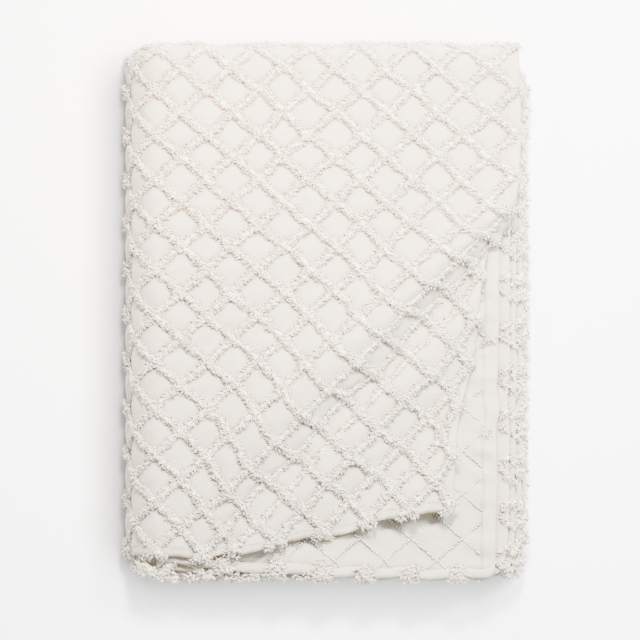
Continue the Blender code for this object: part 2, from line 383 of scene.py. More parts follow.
def hidden_section(y):
    """Section of the layers under the top one, from the bottom left up to the second hem.

    Each point is its place across, its height and its layer. y may be an array.
    """
    radius = LAYER_PITCH / 2.0
    points = []
    x = left_fold_x(1) + HIDDEN_FOLD_CLEARANCE + 0.0 * y
    points.append((x, layer_height(1), 1.0))
    for layer in range(1, LAYERS):
        last = layer == LAYERS - 1
        side = 1.0 if layer % 2 == 1 else -1.0
        if last:
            end = second_hem_x(y)
        elif side > 0.0:
            end = right_fold_x(len(RIGHT_FOLDS) - 1 - (layer - 1) // 2, y) - radius
        else:
            end = left_fold_x(layer) + radius + 0.0 * y
        if last:
            seam = end - SECOND_HEM_WIDTH
            for n in range(1, LAST_RUN_SEGMENTS):
                points.append((x + (seam - x) * n / LAST_RUN_SEGMENTS, layer_height(layer),
                               float(layer)))
            for past_seam, _ in SECOND_HEM_RELIEF:
                points.append((seam + past_seam * MM, layer_height(layer), float(layer)))
            break
        for n in range(1, RUN_SEGMENTS):
            points.append((x + (end - x) * n / RUN_SEGMENTS, layer_height(layer), float(layer)))
        for n in range(FOLD_SEGMENTS + 1):
            angle = math.pi * n / FOLD_SEGMENTS - math.pi / 2.0
            points.append((end + side * radius * math.cos(angle),
                           layer_height(layer) + radius + radius * math.sin(angle),
                           layer + 0.5))
        x = end
    return points


def front_edge_y(x, layer):
    """Place of a layer's front edge, between two layers in the middle of a fold."""
    share = np.clip((x - SHOULDER_X) / (RIGHT_FOLDS[0][1] * MM - SHOULDER_X), 0.0, 1.0)
    share = 1.0 - (1.0 - share) ** 3
    depth = LAYERS - 1 - layer
    row = FRONT_EDGES[int(math.floor(depth))]
    next_row = FRONT_EDGES[int(math.ceil(depth))]
    left = (row[0] + next_row[0]) / 2.0
    right = (row[1] + next_row[1]) / 2.0
    past = np.clip((LEFT_CORNER_START - x) / LEFT_CORNER_WIDTH, 0.0, 0.98)
    inset = LEFT_CORNER_DEPTH * (1.0 - np.sqrt(1.0 - past * past))
    if layer == LAYERS - 1:
        corner = second_hem_x(FOLD_KNOTS[0]) - SECOND_CORNER_WIDTH
        past = np.clip((x - corner) / SECOND_CORNER_WIDTH, 0.0, 0.98)
        inset = inset + SECOND_CORNER_DEPTH * (1.0 - np.sqrt(1.0 - past * past))
        inset = inset + 1.4 * MM * soft_noise(x, 0.0 * x, 0.055, 13)
    return inset - (left + (right - left) * share) * MM


def hidden_surface(columns_of_section, rows):
    """Points of the layers under the top one, as an array of section points by rows."""
    start = row_y(HEM_ROW)
    share = (row_y(rows) - start) / (FIRST_ROW_Y - start)
    y_guess = -278.0 * MM + share * (HIDDEN_BACK_Y + 278.0 * MM)
    section = hidden_section(y_guess)
    made = np.zeros((len(section), len(rows), 3))
    for n, (x, z, layer) in enumerate(section):
        front = front_edge_y(x, layer)
        y = front + share * (HIDDEN_BACK_Y - front)
        swell = 0.25 * MM * soft_noise(x, y, 0.12, 3) * (layer / LAYERS)
        made[n, :, 0] = x
        made[n, :, 1] = y
        made[n, :, 2] = z + swell
    return made + SHIFT


class Materials:
    """Node materials of the cloth, the tufts, the thread and the floor."""

    @staticmethod
    def start(name):
        material = bpy.data.materials.new(name)
        material.use_nodes = True
        tree = material.node_tree
        return material, tree, tree.nodes["Principled BSDF"]

    @staticmethod
    def noise(tree, scale, detail, source):
        node = tree.nodes.new("ShaderNodeTexNoise")
        node.inputs["Scale"].default_value = scale
        node.inputs["Detail"].default_value = detail
        tree.links.new(source, node.inputs["Vector"])
        return node

    @staticmethod
    def paint_crevice_shade(tree, colour, crevice_shade_colour, reach):
        """Paints warm shade into a colour where the piece lies close to others, as found by an
        ambient occlusion node.
        """
        near = tree.nodes.new("ShaderNodeAmbientOcclusion")
        near.samples = 4
        near.inputs["Distance"].default_value = reach
        curve = tree.nodes.new("ShaderNodeMapRange")
        curve.inputs["From Min"].default_value = 0.25
        curve.inputs["From Max"].default_value = 0.95
        tree.links.new(near.outputs["AO"], curve.inputs["Value"])
        # painted shade: the crevice colour is mixed in where the occlusion node finds other pieces
        # close by
        mix = Materials.mix(tree, curve.outputs["Result"], crevice_shade_colour, (1.0, 1.0, 1.0))
        tree.links.new(colour, mix.inputs["B"])
        return mix.outputs["Result"]

    @staticmethod
    def mix(tree, factor, low, high):
        node = tree.nodes.new("ShaderNodeMix")
        node.data_type = "RGBA"
        node.inputs["A"].default_value = (*low, 1.0)
        node.inputs["B"].default_value = (*high, 1.0)
        tree.links.new(factor, node.inputs["Factor"])
        return node


def cloth_material(colour, shade, crevice_shade_colour):
    """Plain-woven cotton: a fine weave in its bump, with slubs and a soft uneven tone, and painted
    warm shade where tufts and layers lie close.
    """
    material, tree, shader = Materials.start("woven_cotton")
    place = tree.nodes.new("ShaderNodeTexCoord").outputs["Object"]
    patches = Materials.noise(tree, 9.0, 2.0, place)
    tone = Materials.mix(tree, patches.outputs["Fac"], shade, colour)
    # painted shade: the tone darkens to the crevice colour near the rows of tufts and between the
    # layers
    tinted = Materials.paint_crevice_shade(tree, tone.outputs["Result"], crevice_shade_colour, 0.008)
    tree.links.new(tinted, shader.inputs["Base Color"])
    shader.inputs["Roughness"].default_value = 0.9
    shader.inputs["Specular IOR Level"].default_value = 0.25
    shader.inputs["Sheen Weight"].default_value = 0.15
    shader.inputs["Sheen Roughness"].default_value = 0.5

    warp = tree.nodes.new("ShaderNodeTexWave")
    warp.bands_direction = "X"
    weft = tree.nodes.new("ShaderNodeTexWave")
    weft.bands_direction = "Y"
    for wave in (warp, weft):
        wave.inputs["Scale"].default_value = 420.0
        wave.inputs["Distortion"].default_value = 1.2
        wave.inputs["Detail"].default_value = 1.0
        tree.links.new(place, wave.inputs["Vector"])
    weave = tree.nodes.new("ShaderNodeMath")
    weave.operation = "ADD"
    tree.links.new(warp.outputs["Fac"], weave.inputs[0])
    tree.links.new(weft.outputs["Fac"], weave.inputs[1])
    crumple = Materials.noise(tree, 90.0, 3.0, place)
    fine = tree.nodes.new("ShaderNodeBump")
    fine.inputs["Strength"].default_value = 0.35
    fine.inputs["Distance"].default_value = 0.0003
    tree.links.new(weave.outputs["Value"], fine.inputs["Height"])
    soft = tree.nodes.new("ShaderNodeBump")
    soft.inputs["Strength"].default_value = 0.5
    soft.inputs["Distance"].default_value = 0.002
    tree.links.new(crumple.outputs["Fac"], soft.inputs["Height"])
    tree.links.new(fine.outputs["Normal"], soft.inputs["Normal"])
    tree.links.new(soft.outputs["Normal"], shader.inputs["Normal"])
    return material


def yarn_material(name, colour, root_shade_colour, roughness):
    """Cotton yarn. Its tone differs from strand to strand, and painted shade deepens it towards the
    roots.
    """
    material, tree, shader = Materials.start(name)
    along = tree.nodes.new("ShaderNodeAttribute")
    along.attribute_name = "strand"
    parts = tree.nodes.new("ShaderNodeSeparateXYZ")
    tree.links.new(along.outputs["Vector"], parts.inputs["Vector"])
    # painted shade: each strand goes from the darker root shade colour at its root to the tip colour
    depth = Materials.mix(tree, parts.outputs["X"], root_shade_colour, colour)
    tone = tree.nodes.new("ShaderNodeHueSaturation")
    vary = tree.nodes.new("ShaderNodeMapRange")
    vary.inputs["To Min"].default_value = 0.96
    vary.inputs["To Max"].default_value = 1.02
    tree.links.new(parts.outputs["Y"], vary.inputs["Value"])
    tree.links.new(vary.outputs["Result"], tone.inputs["Value"])
    tree.links.new(depth.outputs["Result"], tone.inputs["Color"])
    tree.links.new(tone.outputs["Color"], shader.inputs["Base Color"])
    shader.inputs["Roughness"].default_value = roughness
    shader.inputs["Specular IOR Level"].default_value = 0.2
    shader.inputs["Sheen Weight"].default_value = 0.2
    shader.inputs["Subsurface Weight"].default_value = 0.4
    shader.inputs["Subsurface Radius"].default_value = (1.0, 0.85, 0.65)
    shader.inputs["Subsurface Scale"].default_value = 0.003
    place = tree.nodes.new("ShaderNodeTexCoord").outputs["Object"]
    curls = tree.nodes.new("ShaderNodeTexVoronoi")
    curls.inputs["Scale"].default_value = 480.0
    tree.links.new(place, curls.inputs["Vector"])
    lumps = tree.nodes.new("ShaderNodeBump")
    lumps.invert = True
    lumps.inputs["Strength"].default_value = 0.8
    lumps.inputs["Distance"].default_value = 0.0014
    tree.links.new(curls.outputs["Distance"], lumps.inputs["Height"])
    fibres = Materials.noise(tree, 1600.0, 2.0, place)
    bump = tree.nodes.new("ShaderNodeBump")
    bump.inputs["Strength"].default_value = 0.5
    bump.inputs["Distance"].default_value = 0.0004
    tree.links.new(fibres.outputs["Fac"], bump.inputs["Height"])
    tree.links.new(lumps.outputs["Normal"], bump.inputs["Normal"])
    tree.links.new(bump.outputs["Normal"], shader.inputs["Normal"])
    return material


def floor_material(colour):
    """Matt studio paper with a very faint grain, made to glow evenly bright. A painted shadow darkens
    its colour and glow near the stack, on the side away from the lights.
    """
    material, tree, shader = Materials.start("studio_paper")
    place = tree.nodes.new("ShaderNodeTexCoord").outputs["Object"]
    grain = Materials.noise(tree, 3.0, 4.0, place)
    darker = tuple(0.985 * part for part in colour)
    tone = Materials.mix(tree, grain.outputs["Fac"], darker, colour)
    # painted shadow: an occlusion node that looks towards LIGHT_SIDE darkens the floor's colour and
    # glow near the stack
    near = tree.nodes.new("ShaderNodeAmbientOcclusion")
    near.samples = 8
    near.inputs["Distance"].default_value = 0.055
    side = tree.nodes.new("ShaderNodeCombineXYZ")
    for axis, part in zip("XYZ", LIGHT_SIDE):
        side.inputs[axis].default_value = part
    tree.links.new(side.outputs["Vector"], near.inputs["Normal"])
    fade = tree.nodes.new("ShaderNodeMapRange")
    fade.interpolation_type = "SMOOTHSTEP"
    fade.inputs["From Min"].default_value = 0.3
    fade.inputs["From Max"].default_value = 0.98
    tree.links.new(near.outputs["AO"], fade.inputs["Value"])
    floor_with_painted_shadow = Materials.mix(tree, fade.outputs["Result"], SHADOW_GLOW, (1.0, 1.0, 1.0))
    tree.links.new(tone.outputs["Result"], floor_with_painted_shadow.inputs["B"])
    tree.links.new(floor_with_painted_shadow.outputs["Result"], shader.inputs["Base Color"])
    tree.links.new(floor_with_painted_shadow.outputs["Result"], shader.inputs["Emission Color"])
    shader.inputs["Emission Strength"].default_value = 2.75
    shader.inputs["Roughness"].default_value = 0.95
    shader.inputs["Specular IOR Level"].default_value = 0.1
    return material


def finish_piece(piece):
    """A piece of the bedspread rides on the model's one body, and the imported part of the bedspread
    is hidden.
    """
    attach(piece, "root")
    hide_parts(NODE)


def link_mesh(name, mesh, material):
    mesh.materials.append(material)
    piece = bpy.data.objects.new(name, mesh)
    bpy.context.scene.collection.objects.link(piece)
    return piece


def make_cloth(step):
    """The whole cloth as one grid of its middle surface, with its corner piece left out; the operator
    gives it its thickness.
    """
    width = HEM_COLUMN + LEFT_WRAP_STEPS - SHOULDER_COLUMN
    top_count = int(round(width * COLUMN_STEP / step))
    seam = HEM_COLUMN - HEM_WIDTH_COLUMNS
    columns = np.linspace(HEM_COLUMN, SHOULDER_COLUMN - LEFT_WRAP_STEPS, top_count + 1)
    columns = np.unique(np.concatenate((columns, (seam - 0.09, seam, seam + 0.09))))[::-1]
    seam_row = HEM_ROW - HEM_WIDTH_ROWS
    row_count = int(round((HEM_ROW + BACK_FLAP_STEPS) * ROW_STEP / step))
    rows = np.linspace(-BACK_FLAP_STEPS, HEM_ROW, row_count + 1)
    rows = np.unique(np.concatenate((rows, (0.0, seam_row - 0.1, seam_row, seam_row + 0.1))))
    inner_rows = rows[rows >= 0.0]

    column_grid, row_grid = np.meshgrid(columns, rows, indexing="ij")
    top = top_surface(column_grid, row_grid)
    top += top_normal(column_grid, row_grid) * cloth_relief(column_grid, row_grid)[..., None]
    hidden = hidden_surface(None, inner_rows)
    hem = second_layer_relief(hidden)
    hidden[..., 2] += hem
    blank = len(rows) - len(inner_rows)
    below = np.full((hidden.shape[0], len(rows), 3), np.nan)
    below[:, blank:, :] = hidden
    places = np.concatenate((top, below))
    left_out = np.zeros(places.shape[:2], bool)
    left_out[:len(columns)] = ((row_grid < 0.0)
                               & (SHOULDER_COLUMN - column_grid > BACK_FLAP_STEPS + 1e-6))
    left_out[len(columns):, :blank] = True

    bm = bmesh.new()
    bmesh.ops.create_grid(bm, x_segments=places.shape[0] - 1, y_segments=places.shape[1] - 1,
                          size=1.0)
    bm.verts.ensure_lookup_table()
    verts = list(bm.verts)
    order = grid_order(verts, places.shape[:2])
    unwanted = []
    for (c, r), vert in order:
        if left_out[c, r]:
            unwanted.append(vert)
        else:
            vert.co = places[c, r]
    bmesh.ops.delete(bm, geom=unwanted, context="VERTS")
    mesh = bpy.data.meshes.new("cloth")
    bm.to_mesh(mesh)
    bm.free()
    return mesh


def grid_order(verts, shape):
    """Pairs of grid place and vertex, from where create_grid put each vertex."""
    for vert in verts:
        c = int(round((vert.co.x + 1.0) / 2.0 * (shape[0] - 1)))
        r = int(round((vert.co.y + 1.0) / 2.0 * (shape[1] - 1)))
        yield (c, r), vert


def cloth_relief(column, row):
    """Small forms of the woven ground: domed diamonds, pulled rows and thicker hems."""
    dome = 1.5 * MM * ease(row_distance(column, row), 2.0, 15.0)
    uneven = 0.75 * MM * soft_noise(column * 13.5, row * 11.8, 34.0, 5)
    crease = 0.35 * MM * soft_noise(column * 13.5, row * 11.8, 15.0, 8)
    hem = np.maximum(hem_step(column, HEM_COLUMN - HEM_WIDTH_COLUMNS, 0.09),
                     hem_step(row, HEM_ROW - HEM_WIDTH_ROWS, 0.1))
    inside = ease(column, -4.0, 0.0)
    near_hem = ease(row, HEM_ROW - 3.0, HEM_ROW - 0.5) * ease(column, 0.0, 2.0)
    pucker = 1.1 * MM * soft_noise(column * 13.5, row * 4.0, 15.0, 9) * near_hem
    return dome * (1.0 - hem) + (uneven + crease) * inside + 0.7 * MM * hem + pucker


def hem_step(value, seam, width):
    """0 inside the cloth, a small dip at the seam and 1 on the doubled hem."""
    dip = -0.6 * np.exp(-((value - seam) / (0.8 * width)) ** 2)
    return ease(value, seam, seam + width) + dip


def second_layer_relief(hidden):
    """The second layer's hems, raised on its reverse along the right and front edges."""
    relief = np.zeros(hidden.shape[:2])
    count = LAST_RUN_SEGMENTS - 1 + len(SECOND_HEM_RELIEF)
    x = hidden[-count:, :, 0]
    y = hidden[-count:, :, 1]
    depth = y - hidden[-count:, -1:, 1]
    plump = 1.1 * MM * (1.0 - ease(depth, 9.5 * MM, 11.0 * MM))
    groove = 0.8 * MM * np.exp(-((depth - 11.3 * MM) / (1.2 * MM)) ** 2)
    soft = 1.1 * MM * soft_noise(x, y, 0.042, 23) + 0.5 * MM * soft_noise(x, y, 0.018, 24)
    right = np.zeros_like(x)
    right[-len(SECOND_HEM_RELIEF):] = np.array(SECOND_HEM_RELIEF)[:, 1:] * MM
    pucker = 1.6 * MM * soft_noise(0.25 * x, y, 0.017, 25) * np.exp(
        -((x - SHIFT[0] - second_hem_x(y) + SECOND_HEM_WIDTH) / (14.0 * MM)) ** 2)
    relief[-count:] = np.where(plump > np.abs(right), plump, right) - groove + soft + pucker
    return relief


def make_strand_shapes(count, sides, thickness):
    """A few curved strand shapes of length 1, as points and shared faces.

    Each strand starts as a ring, which is extruded along a bent path and closed at its tip.
    """
    rng = np.random.default_rng(21)
    shapes = []
    faces = None
    for _ in range(count):
        bend = rng.uniform(0.2, 0.9)
        sway = rng.uniform(-0.45, 0.45)
        bm = bmesh.new()
        ring = bmesh.ops.create_circle(bm, segments=sides, radius=thickness / 2.0)["verts"]
        edges = list(bm.edges)
        for share, width in STRAND_RINGS:
            made = bmesh.ops.extrude_edge_only(bm, edges=edges)["geom"]
            ring = [item for item in made if isinstance(item, bmesh.types.BMVert)]
            edges = [item for item in made if isinstance(item, bmesh.types.BMEdge)
                     and all(vert in ring for vert in item.verts)]
            middle = Vector((bend * share ** 2, sway * share ** 2,
                             share * (1.0 - 0.3 * bend * share)))
            old = sum((vert.co for vert in ring), Vector()) / len(ring)
            for vert in ring:
                offset = vert.co - old
                offset *= width * thickness / 2.0 / max(offset.length, 1e-9)
                vert.co = middle + offset
        bmesh.ops.contextual_create(bm, geom=edges)
        bmesh.ops.recalc_face_normals(bm, faces=bm.faces)
        bm.verts.index_update()
        shapes.append(np.array([vert.co for vert in bm.verts]))
        if faces is None:
            faces = [[vert.index for vert in face.verts] for face in bm.faces]
        bm.free()
    return np.array(shapes), faces


def joined_strands(name, material, shapes, faces, roots, axes, lengths, tones):
    """One mesh of many strands. axes holds each strand's side, cross and length directions."""
    rng = np.random.default_rng(len(roots))
    local = shapes[rng.integers(0, len(shapes), len(roots))]
    placed = (np.einsum("nvk,nkd->nvd", local * lengths[:, None, None], axes)
              + roots[:, None, :])
    placed[..., 2] = np.maximum(placed[..., 2], LOWEST_STRAND)
    count, per = placed.shape[:2]
    mesh = bpy.data.meshes.new(name)
    mesh.vertices.add(count * per)
    mesh.vertices.foreach_set("co", placed.astype(np.float32).ravel())
    corner = np.concatenate([np.array(face) for face in faces])
    sizes = np.array([len(face) for face in faces])
    loops = (corner[None, :] + per * np.arange(count)[:, None]).ravel()
    mesh.loops.add(len(loops))
    mesh.loops.foreach_set("vertex_index", loops.astype(np.int32))
    all_sizes = np.tile(sizes, count)
    mesh.polygons.add(len(all_sizes))
    starts = np.concatenate(([0], np.cumsum(all_sizes)[:-1]))
    mesh.polygons.foreach_set("loop_start", starts.astype(np.int32))
    mesh.update(calc_edges=True)
    mesh.validate()
    # first value: the place along each strand, which the yarn material turns into painted root shade;
    # second: a random tone
    values = np.zeros((count, per, 3), np.float32)
    values[..., 0] = np.clip(shapes[0][:, 2], 0.0, 1.0)[None, :]
    values[..., 1] = tones[:, None]
    attribute = mesh.attributes.new("strand", "FLOAT_VECTOR", "POINT")
    attribute.data.foreach_set("vector", values.ravel())
    mesh.shade_smooth()
    return link_mesh(name, mesh, material)


def unit(vectors):
    return vectors / np.maximum(np.linalg.norm(vectors, axis=-1, keepdims=True), 1e-12)


class Yarn:
    """Collects the rows of tufts: their cores, and the strands that fan out of them."""

    def __init__(self, settings, seed):
        self.settings = settings
        self.rng = np.random.default_rng(seed)
        self.strands = []
        self.cores = []

    def row(self, places, normals, per_place, length, width, kept=None):
        """A row of tufts over places on the cloth, with strands all over its round core.

        width is the core's radius, and kept says where the row is full.
        """
        if len(places) < 3:
            return
        rng = self.rng
        ways = unit(np.gradient(places, axis=0))
        across = unit(np.cross(normals, ways))
        fullness = np.ones(len(places)) if kept is None else kept
        core_widths = CORE_SHARE * np.sqrt(fullness) * width
        middles = places - normals * 0.6 * MM
        middles[:, 2] = np.maximum(middles[:, 2], core_widths + LOWEST_STRAND)
        self.cores.append((middles, core_widths))
        widths = np.sqrt(fullness) * width
        parts = [np.repeat(part, per_place, axis=0)
                 for part in (places, normals, ways, across, fullness, widths)]
        chosen = rng.uniform(0.0, 1.0, len(parts[0])) < parts[4]
        places, normals, ways, across, fullness, widths = [part[chosen] for part in parts]
        count = len(places)
        turn = rng.uniform(-1.5, 1.5, count)
        radial = (normals * FLATNESS * np.cos(turn)[:, None]
                  + across * np.sin(turn)[:, None])
        axis = unit(radial + ways * rng.normal(0.0, 0.5, count)[:, None]
                    + across * rng.normal(0.0, 0.45, count)[:, None]
                    + normals * rng.normal(0.0, 0.2, count)[:, None])
        bend = unit(ways * rng.normal(0.0, 1.0, count)[:, None]
                    + across * rng.normal(0.0, 1.0, count)[:, None] - radial * 0.5)
        cross = unit(np.cross(axis, bend))
        bend = np.cross(cross, axis)
        depth = widths * rng.uniform(0.6, 0.9, count)
        roots = (places + radial * depth[:, None]
                 + ways * rng.uniform(-1.3, 1.3, count)[:, None] * MM)
        lengths = length * rng.uniform(0.65, 1.2, count)
        self.strands.append((roots, np.stack((bend, cross, axis), axis=1), lengths))

    def puff(self, place, normal, outward, count, length, radius):
        """A loose end of a row: strands that spill over an edge in all directions."""
        rng = self.rng
        sideways = np.cross(normal, outward)
        turn = rng.uniform(-math.pi, math.pi, count)
        reach = np.sqrt(rng.uniform(0.0, 1.0, count)) * radius
        spread = (outward * np.cos(turn)[:, None] + sideways * np.sin(turn)[:, None])
        axis = unit(spread * 0.45 + outward * 0.6 + normal * 0.3
                    + rng.normal(0.0, 0.3, (count, 3)))
        bend = unit(rng.normal(0.0, 1.0, (count, 3)) - normal[None, :])
        cross = unit(np.cross(axis, bend))
        side = np.cross(cross, axis)
        roots = (place[None, :] + spread * reach[:, None]
                 + normal * (0.45 * (radius - reach))[:, None])
        lengths = length * rng.uniform(0.7, 1.15, count)
        self.strands.append((roots, np.stack((side, cross, axis), axis=1), lengths))

    def finish(self, name, material, limit):
        """Makes the strands' and the cores' meshes."""
        share = self.settings.strand_thickness / self.settings.strand_length
        shapes, faces = make_strand_shapes(9, 3, share)
        roots, axes, lengths = (np.concatenate(parts) for parts in zip(*self.strands))
        per_strand = sum(len(face) - 2 for face in faces)
        chunks = int(math.ceil(len(roots) * per_strand / limit))
        tones = self.rng.uniform(0.0, 1.0, len(roots))
        pieces = [
            joined_strands(f"{name}_{n + 1}", material, shapes, faces, roots[part], axes[part],
                           lengths[part], tones[part])
            for n, part in enumerate(np.array_split(np.arange(len(roots)), chunks))]
        pieces.append(self.core_piece(f"{name}_cores", material))
        return pieces

    def core_piece(self, name, material):
        """The twisted yarn under the strands, as lumpy round cords."""
        curve = bpy.data.curves.new(name, "CURVE")
        curve.dimensions = "3D"
        curve.bevel_depth = 1.0
        curve.bevel_resolution = 1
        curve.use_fill_caps = True
        for places, widths in self.cores:
            places = places[::2]
            thick = widths[::2] * (0.92 + 0.14 * soft_noise(places[:, 0], places[:, 1],
                                                            0.009, 17))
            spline = curve.splines.new("POLY")
            spline.points.add(len(places) - 1)
            spline.points.foreach_set("co", np.column_stack((places, np.ones(len(places)))).ravel())
            spline.points.foreach_set("radius", np.maximum(thick, 0.3 * MM))
        holder = bpy.data.objects.new(name, curve)
        bpy.context.scene.collection.objects.link(holder)
        ready = holder.evaluated_get(bpy.context.evaluated_depsgraph_get())
        mesh = bpy.data.meshes.new_from_object(ready)
        bpy.data.objects.remove(holder, do_unlink=True)
        mesh.name = name
        # the cores take a colour partway between the painted root shade and the tip colour, with a
        # middle tone
        values = np.tile((0.55, 0.5, 0.0), len(mesh.vertices)).astype(np.float32)
        attribute = mesh.attributes.new("strand", "FLOAT_VECTOR", "POINT")
        attribute.data.foreach_set("vector", values)
        mesh.materials.clear()
        mesh.shade_smooth()
        return link_mesh(name, mesh, material)


def lattice_line(kind, number, step):
    """Evenly spaced lattice places along one row of tufts."""
    row = np.arange(-8.0, 46.0, step / (COLUMN_STEP * math.hypot(1.0, ROW_STEP / COLUMN_STEP)))
    if kind == "rising":
        return STEPS_PER_DIAMOND * number - 2.0 - row, row
    return STEPS_PER_DIAMOND * number + 2.0 + row, row


def crossing_distance(kind, column, row):
    """Distance in mm along a row to the nearest row that crosses it."""
    value = (column - row - 2.0) if kind == "rising" else (column + row + 2.0)
    value = value / STEPS_PER_DIAMOND
    return np.abs(value - np.round(value)) * 36.0


def add_top_rows(yarn):
    """Every row of tufts of the top layer, with its left side, back flap and hem ends."""
    settings = yarn.settings
    for kind in ("rising", "falling"):
        for number in range(-12, 22):
            column, row = lattice_line(kind, number, settings.stitch_step)
            keep = ((column > SHOULDER_COLUMN - 5.6) & (column < HEM_COLUMN - 0.15)
                    & (row > -BACK_FLAP_STEPS + 0.3) & (row < HEM_ROW - 0.1))
            column, row = column[keep], row[keep]
            if len(column) < 4:
                continue
            column = column + 0.13 * soft_noise(column * 13.5, row * 11.8, 21.0, number + 40)
            normals = top_normal(column, row)
            places = top_surface(column, row)
            places = places + normals * (cloth_relief(column, row)
                                         + CLOTH_THICKNESS / 2.0)[:, None]
            bare = soft_noise(column * 13.5, row * 11.8, 22.0, number + 90)
            kept = 0.88 + 0.12 * bare
            gap = crossing_distance(kind, column, row)
            wide = settings.core_radius * (1.0 + 0.28 * (1.0 - ease(gap, 2.0, 9.0))) * (
                0.62 + 0.38 * ease(column, -2.0, 0.8))
            if kind == "falling":
                yarn.row(places, normals, settings.strands_per_stitch,
                         settings.strand_length, wide, kept)
            else:
                band = (column + row - MAIN_RIDGE_SUM) / STEPS_PER_DIAMOND
                slope = ease(band, -0.2, 0.3) * (1.0 - ease(band, 2.6, 3.2)) * ease(column, 6.0, 12.0)
                kept = kept * (0.5 + 0.5 * ease(gap, 2.0, 6.0)) * (1.0 - 0.55 * slope)
                yarn.row(places, normals, settings.strands_per_stitch - 1,
                         settings.strand_length, 0.9 * wide, kept)
            for end, inner in ((0, 2), (-1, -3)):
                at_hem = column[end] > HEM_COLUMN - 0.6 or row[end] > HEM_ROW - 0.6
                if at_hem:
                    outward = unit(places[end] - places[inner])
                    yarn.puff(places[end], normals[end], outward, 26,
                              settings.strand_length, 1.05 * settings.core_radius)


def fold_place(pair, y, along):
    """A place on the outside of a fold at the right side, and its outward direction.

    along runs over the fold, from the layer below (negative) to the layer above it.
    """
    layer = 2 * (len(RIGHT_FOLDS) - 1 - pair) + 1
    radius = LAYER_PITCH / 2.0
    angle = np.clip(along / radius, -math.pi / 2.0, math.pi / 2.0)
    past = np.maximum(np.abs(along) - radius * math.pi / 2.0, 0.0)
    out = radius + CLOTH_THICKNESS / 2.0
    x = right_fold_x(pair, y) - radius + out * np.cos(angle) - past
    z = layer_height(layer) + radius + out * np.sin(angle)
    normal = np.stack((np.cos(angle), 0.0 * angle, np.sin(angle)), axis=-1)
    return np.stack((x, y, z), axis=-1) + SHIFT, normal


def add_fold_rows(yarn):
    """The rows of tufts where they round the folds at the right side."""
    slope = ROW_STEP / COLUMN_STEP
    step = yarn.settings.stitch_step
    for pair in range(len(RIGHT_FOLDS)):
        start = yarn.rng.uniform(0.0, 24.0) * MM
        count = int((HIDDEN_BACK_Y + 268.0 * MM) / (23.75 * MM))
        inner = pair < 2
        reach = (-4.0 * MM, 10.5 * MM) if inner else (-6.0 * MM, 11.0 * MM)
        for n in range(count + 1):
            middle = 252.0 * MM - start - n * 23.75 * MM + yarn.rng.normal(0.0, 1.5) * MM
            lean = slope if (n + pair) % 2 else -slope
            along = np.arange(*reach, step)
            y = middle + lean * along
            if y.min() < -275.0 * MM:
                continue
            places, normals = fold_place(pair, y, along)
            if inner:
                yarn.row(places, normals, 6, yarn.settings.strand_length,
                         0.65 * yarn.settings.core_radius)
            else:
                yarn.row(places, normals, 10, 1.2 * yarn.settings.strand_length,
                         1.05 * yarn.settings.core_radius)


def flat_place(x, y, layer):
    """A place on the upper side of one of the layers under the top one."""
    z = layer_height(layer) + CLOTH_THICKNESS / 2.0 + 0.0 * x
    return np.stack((x, y + 0.0 * x, z), axis=-1) + SHIFT


def add_front_rows(yarn):
    """Tufts at the front of the lower layers, and on the second layer's turned hem."""
    settings = yarn.settings
    up = np.array((0.0, 0.0, 1.0))
    front = np.array((0.0, -1.0, 0.0))
    slope = ROW_STEP / COLUMN_STEP
    for layer in range(2, LAYERS - 1, 2):
        upper = layer > LAYERS - 8
        for n in range(30):
            x = (-198.0 + 12.75 * n + yarn.rng.normal(0.0, 2.0)) * MM
            if x > 186.0 * MM or (n % 2 and (x > 0.0 or not upper)):
                continue
            edge = front_edge_y(np.array(x), layer)
            place = flat_place(np.array(x), edge + 1.0 * MM, layer)
            yarn.puff(place, up, front, 24, 1.15 * settings.strand_length, 5.5 * MM)
    for layer, inner in ((LAYERS - 2, -236.0 * MM), (LAYERS - 4, -262.0 * MM)):
        for n in range(6):
            for lean in (-1.0, 1.0):
                y = np.arange(-281.0 * MM, inner, settings.stitch_step)
                x = (-190.0 + 51.5 * n + 0.8 * layer) * MM + lean * (y + 276.0 * MM) / slope
                keep = ((x > -198.0 * MM) & (x < 0.0)
                        & (y > front_edge_y(x, layer) + 0.5 * MM))
                places = flat_place(x, y, layer)[keep]
                yarn.row(places, np.tile(up, (len(places), 1)), 7, 1.1 * settings.strand_length,
                         0.85 * settings.core_radius)
    for centre in HEM_PUFFS:
        x = centre * MM
        edge = front_edge_y(np.array(x), LAYERS - 1)
        for lean in (-0.9, -0.3, 0.5, 1.0):
            along = np.arange(0.0, 12.0 * MM, settings.stitch_step)
            places = flat_place(x + lean * (along - 3.0 * MM), edge + along, LAYERS - 1)
            places[:, 2] += 0.8 * MM
            yarn.row(places, np.tile(up, (len(places), 1)), 6, 1.2 * settings.strand_length,
                     0.8 * settings.core_radius)
        for aside in (-5.5, 0.0, 5.0):
            place = flat_place(np.array(x + aside * MM), edge + 2.0 * MM, LAYERS - 1)
            yarn.puff(place, up, front, 36, 1.3 * settings.strand_length, 5.5 * MM)
    for pair in range(1, len(RIGHT_FOLDS)):
        for y in (-262.0, -269.0, -275.0):
            places, normals = fold_place(pair, np.array((y * MM,)), np.array((0.0,)))
            yarn.puff(places[0], normals[0], unit(np.array((0.8, -0.6, 0.0))), 16,
                      1.1 * settings.strand_length, 4.5 * MM)
    for x, y in HEM_TUFTS:
        place = flat_place(np.array(x * MM), y * MM, LAYERS - 1)
        yarn.puff(place, up, front, 40, settings.strand_length, 5.5 * MM)


